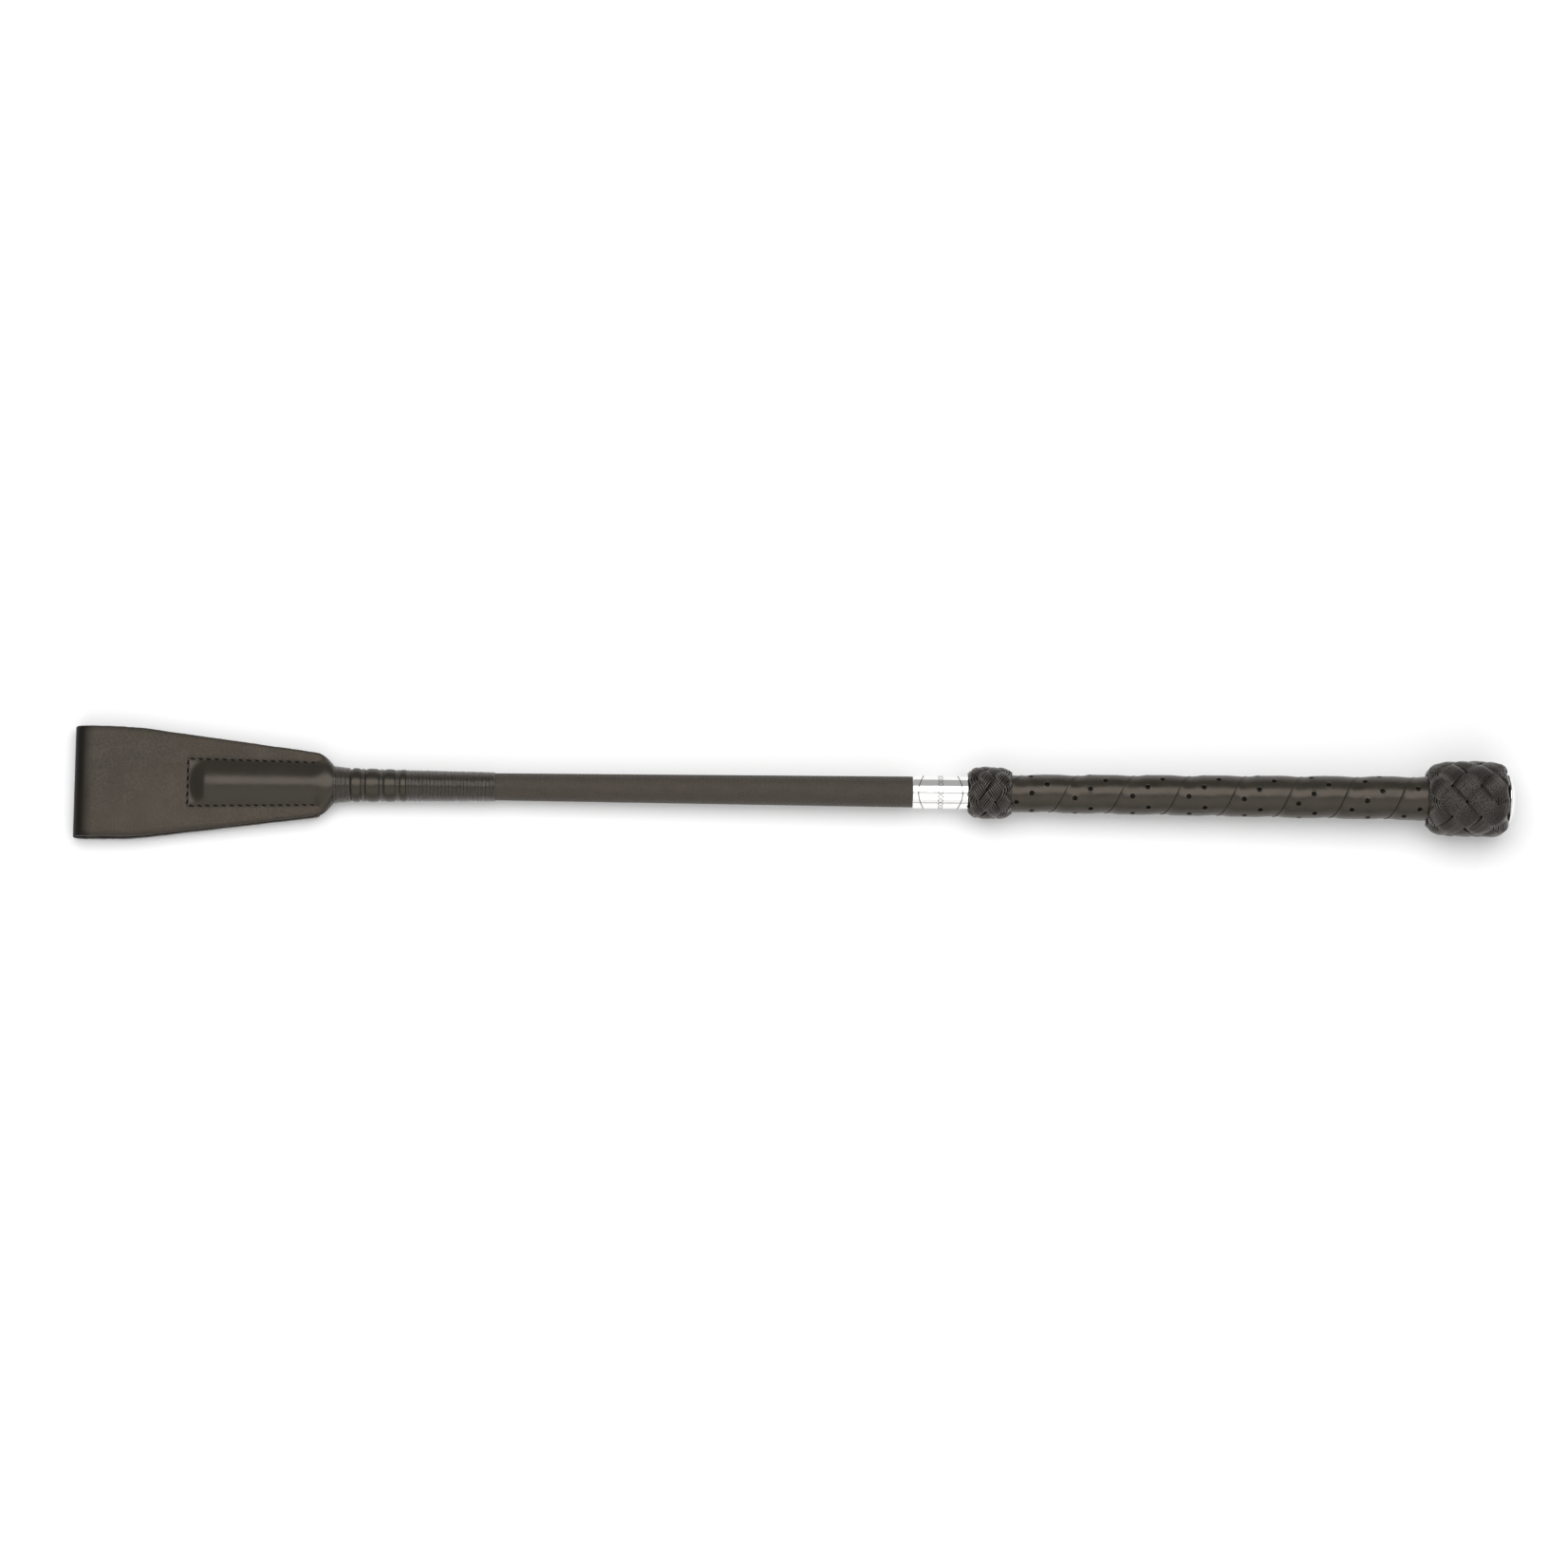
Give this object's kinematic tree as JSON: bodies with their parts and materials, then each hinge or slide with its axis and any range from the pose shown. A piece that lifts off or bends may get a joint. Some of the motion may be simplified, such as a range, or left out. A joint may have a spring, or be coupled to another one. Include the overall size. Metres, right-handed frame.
{
  "type": "riding crop",
  "caption": "Slim riding crop with a folded leather flapper, braided shaft, metal collar, wrapped leather grip, woven knots and a domed end cap.",
  "frame": {"origin": "middle of the metal collar, on the shaft's axis", "axes": "+X along the shaft towards the end cap, +Z out of the flapper's upper face, +Y across the flapper"},
  "size_m": [0.5998, 0.0462, 0.0318],
  "materials": {
    "fibreglass": "resin-bonded glass fibre, ground smooth",
    "moulded_plastic": "black moulded plastic",
    "filler_yarn": "wound cotton yarn, matt",
    "shaft_braid": "fine black braided thread, waxed, satin",
    "flapper_leather": "black-brown leather, matt, fine grain",
    "stitch_thread": "waxed black thread",
    "whipping_thread": "waxed black thread, tightly wound, satin",
    "polished_metal": "polished nickel plate",
    "foam_padding": "closed-cell foam",
    "grip_leather": "smooth black leather, semi-matt, perforated",
    "binding_tape": "cloth tape",
    "knot_cord": "fine waxed round cords, black, glossy",
    "turned_wood": "turned hardwood",
    "nail_steel": "steel wire"
  },
  "bodies": {
    "crop": {"core_rod": "fibreglass", "rod_tip_cap": "moulded_plastic", "shaft_lapping": "filler_yarn", "shaft_braid": "shaft_braid", "flapper_upper_leaf": "flapper_leather", "flapper_lower_leaf": "flapper_leather", "pocket_stitching": "stitch_thread", "neck_whipping": "whipping_thread", "neck_rings": "whipping_thread", "shaft_whipping": "whipping_thread", "collar": "polished_metal", "grip_padding": "foam_padding", "grip_wrap": "grip_leather", "grip_end_tapes": "binding_tape", "front_knot_core": "foam_padding", "front_knot": "knot_cord", "butt_core": "turned_wood", "butt_knot": "knot_cord", "end_cap": "polished_metal", "cap_nail": "nail_steel"},
    "flapper": {"flapper_loop": "flapper_leather"}
  },
  "joints": [
    {"name": "flapper_bend", "type": "hinge", "parent": "crop", "child": "flapper", "pos_m": [-0.31745, 0, 0], "axis": [0, 1, 0], "range_deg": [-60, 60], "stiffness_Nm_per_rad": 0.4}
  ]
}
